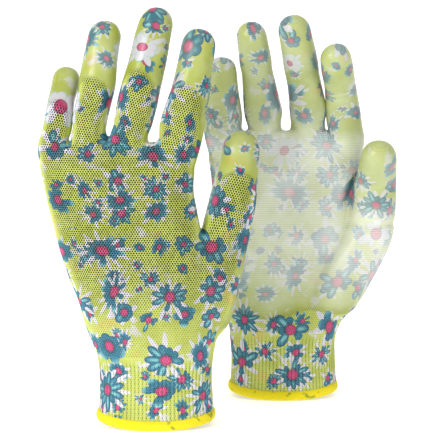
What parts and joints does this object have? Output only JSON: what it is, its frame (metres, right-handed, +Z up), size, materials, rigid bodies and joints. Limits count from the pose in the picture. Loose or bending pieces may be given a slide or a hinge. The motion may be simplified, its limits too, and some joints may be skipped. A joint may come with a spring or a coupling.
{
  "type": "gardening gloves",
  "caption": "Pair of knitted gardening gloves with coated palms and fingertips, standing on their cuffs, fingers and wrists that bend",
  "frame": {"origin": "On the ground, under the middle of the pair's bounding box", "axes": "+Z is up, from the cuffs to the fingertips. -Y is the side that shows the back of the left glove and the palm of the right glove. +X is the side that both thumbs point to."},
  "size_m": [0.2108, 0.1348, 0.238],
  "materials": {
    "knit": "matt knit, printed with flowers",
    "coating": "satin, translucent",
    "hem_yarn": "matt overlocked yarn",
    "elastic_yarn": "matt covered yarn"
  },
  "bodies": {
    "left_cuff": {"left_cuff": "knit", "left_cuff_elastic": "elastic_yarn", "left_hem": "hem_yarn"},
    "left_hand": {"left_lower_hand": "knit", "left_upper_hand": "knit", "left_palm_coating": "coating"},
    "left_little_base": {"left_little_base_liner": "knit", "left_little_base_coating": "coating"},
    "left_little_tip": {"left_little_tip_liner": "knit", "left_little_tip_coating": "coating"},
    "left_ring_base": {"left_ring_base_liner": "knit", "left_ring_base_coating": "coating"},
    "left_ring_tip": {"left_ring_tip_liner": "knit", "left_ring_tip_coating": "coating"},
    "left_middle_base": {"left_middle_base_liner": "knit", "left_middle_base_coating": "coating"},
    "left_middle_tip": {"left_middle_tip_liner": "knit", "left_middle_tip_coating": "coating"},
    "left_index_base": {"left_index_base_liner": "knit", "left_index_base_coating": "coating"},
    "left_index_tip": {"left_index_tip_liner": "knit", "left_index_tip_coating": "coating"},
    "left_thumb_base": {"left_thumb_base_liner": "knit", "left_thumb_base_coating": "coating"},
    "left_thumb_tip": {"left_thumb_tip_liner": "knit", "left_thumb_tip_coating": "coating"},
    "right_cuff": {"right_cuff": "knit", "right_cuff_elastic": "elastic_yarn", "right_hem": "hem_yarn"},
    "right_hand": {"right_lower_hand": "knit", "right_upper_hand": "knit", "right_palm_coating": "coating"},
    "right_little_base": {"right_little_base_liner": "knit", "right_little_base_coating": "coating"},
    "right_little_tip": {"right_little_tip_liner": "knit", "right_little_tip_coating": "coating"},
    "right_ring_base": {"right_ring_base_liner": "knit", "right_ring_base_coating": "coating"},
    "right_ring_tip": {"right_ring_tip_liner": "knit", "right_ring_tip_coating": "coating"},
    "right_middle_base": {"right_middle_base_liner": "knit", "right_middle_base_coating": "coating"},
    "right_middle_tip": {"right_middle_tip_liner": "knit", "right_middle_tip_coating": "coating"},
    "right_index_base": {"right_index_base_liner": "knit", "right_index_base_coating": "coating"},
    "right_index_tip": {"right_index_tip_liner": "knit", "right_index_tip_coating": "coating"},
    "right_thumb_base": {"right_thumb_base_liner": "knit", "right_thumb_base_coating": "coating"},
    "right_thumb_tip": {"right_thumb_tip_liner": "knit", "right_thumb_tip_coating": "coating"}
  },
  "joints": [
    {"name": "left_wrist", "type": "hinge", "parent": "left_cuff", "child": "left_hand", "pos_m": [-0.03861, -0.044, 0.038], "axis": [-1, 0, 0], "range_deg": [-35, 18]},
    {"name": "left_little_root", "type": "hinge", "parent": "left_hand", "child": "left_little_base", "pos_m": [-0.09657, -0.04113, 0.1561], "axis": [-0.989, 0, 0.1478], "range_deg": [0, 65]},
    {"name": "left_little_middle", "type": "hinge", "parent": "left_little_base", "child": "left_little_tip", "pos_m": [-0.09339, -0.03831, 0.17773], "axis": [-0.9816, 0, 0.1908], "range_deg": [0, 70]},
    {"name": "left_ring_root", "type": "hinge", "parent": "left_hand", "child": "left_ring_base", "pos_m": [-0.07633, -0.04062, 0.16082], "axis": [-0.989, 0, 0.1478], "range_deg": [0, 65]},
    {"name": "left_ring_middle", "type": "hinge", "parent": "left_ring_base", "child": "left_ring_tip", "pos_m": [-0.07152, -0.03897, 0.19308], "axis": [-0.9877, 0, 0.1564], "range_deg": [0, 70]},
    {"name": "left_middle_root", "type": "hinge", "parent": "left_hand", "child": "left_middle_base", "pos_m": [-0.05424, -0.04047, 0.16138], "axis": [-0.9694, 0, 0.2453], "range_deg": [0, 65]},
    {"name": "left_middle_middle", "type": "hinge", "parent": "left_middle_base", "child": "left_middle_tip", "pos_m": [-0.04523, -0.03924, 0.19693], "axis": [-0.9744, 0, 0.225], "range_deg": [0, 70]},
    {"name": "left_index_root", "type": "hinge", "parent": "left_hand", "child": "left_index_base", "pos_m": [-0.02725, -0.04039, 0.15682], "axis": [-0.9681, 0, 0.2504], "range_deg": [0, 65]},
    {"name": "left_index_middle", "type": "hinge", "parent": "left_index_base", "child": "left_index_tip", "pos_m": [-0.01905, -0.03886, 0.18837], "axis": [-0.9833, 0, 0.1822], "range_deg": [0, 70]},
    {"name": "left_thumb_root", "type": "hinge", "parent": "left_hand", "child": "left_thumb_base", "pos_m": [0.00227, -0.03163, 0.1144], "axis": [-0.9781, 0, 0.2079], "range_deg": [0, 45]},
    {"name": "left_thumb_middle", "type": "hinge", "parent": "left_thumb_base", "child": "left_thumb_tip", "pos_m": [0.00717, -0.02879, 0.13715], "axis": [-0.989, 0, 0.1478], "range_deg": [0, 65]},
    {"name": "right_set_aside", "type": "slide", "parent": "left_cuff", "child": "right_cuff", "axis": [1, 0, 0], "range_m": [0, 0.15]},
    {"name": "right_wrist", "type": "hinge", "parent": "right_cuff", "child": "right_hand", "pos_m": [0.03719, 0.044, 0.038], "axis": [1, 0, 0], "range_deg": [-35, 18]},
    {"name": "right_little_root", "type": "hinge", "parent": "right_hand", "child": "right_little_base", "pos_m": [0.00131, 0.04032, 0.15904], "axis": [0.9969, 0, 0.0785], "range_deg": [0, 65]},
    {"name": "right_little_middle", "type": "hinge", "parent": "right_little_base", "child": "right_little_tip", "pos_m": [-0.0005, 0.03886, 0.18149], "axis": [0.9998, 0, 0.0174], "range_deg": [0, 70]},
    {"name": "right_ring_root", "type": "hinge", "parent": "right_hand", "child": "right_ring_base", "pos_m": [0.02573, 0.04063, 0.16221], "axis": [0.9914, 0, 0.1305], "range_deg": [0, 65]},
    {"name": "right_ring_middle", "type": "hinge", "parent": "right_ring_base", "child": "right_ring_tip", "pos_m": [0.02155, 0.03794, 0.19407], "axis": [0.989, 0, 0.1478], "range_deg": [0, 70]},
    {"name": "right_middle_root", "type": "hinge", "parent": "right_hand", "child": "right_middle_base", "pos_m": [0.05226, 0.04052, 0.16189], "axis": [0.9945, 0, 0.1045], "range_deg": [0, 65]},
    {"name": "right_middle_middle", "type": "hinge", "parent": "right_middle_base", "child": "right_middle_tip", "pos_m": [0.04877, 0.03461, 0.19693], "axis": [0.9781, 0, 0.2079], "range_deg": [0, 70]},
    {"name": "right_index_root", "type": "hinge", "parent": "right_hand", "child": "right_index_base", "pos_m": [0.07547, 0.04057, 0.15678], "axis": [0.9942, 0, 0.108], "range_deg": [0, 65]},
    {"name": "right_index_middle", "type": "hinge", "parent": "right_index_base", "child": "right_index_tip", "pos_m": [0.07251, 0.03481, 0.18637], "axis": [0.9744, 0, 0.225], "range_deg": [0, 70]},
    {"name": "right_thumb_root", "type": "hinge", "parent": "right_hand", "child": "right_thumb_base", "pos_m": [0.09066, 0.03086, 0.1115], "axis": [0.9962, 0, -0.0872], "range_deg": [0, 45]},
    {"name": "right_thumb_middle", "type": "hinge", "parent": "right_thumb_base", "child": "right_thumb_tip", "pos_m": [0.09258, 0.02386, 0.1322], "axis": [0.999, 0, -0.0436], "range_deg": [0, 65]}
  ]
}
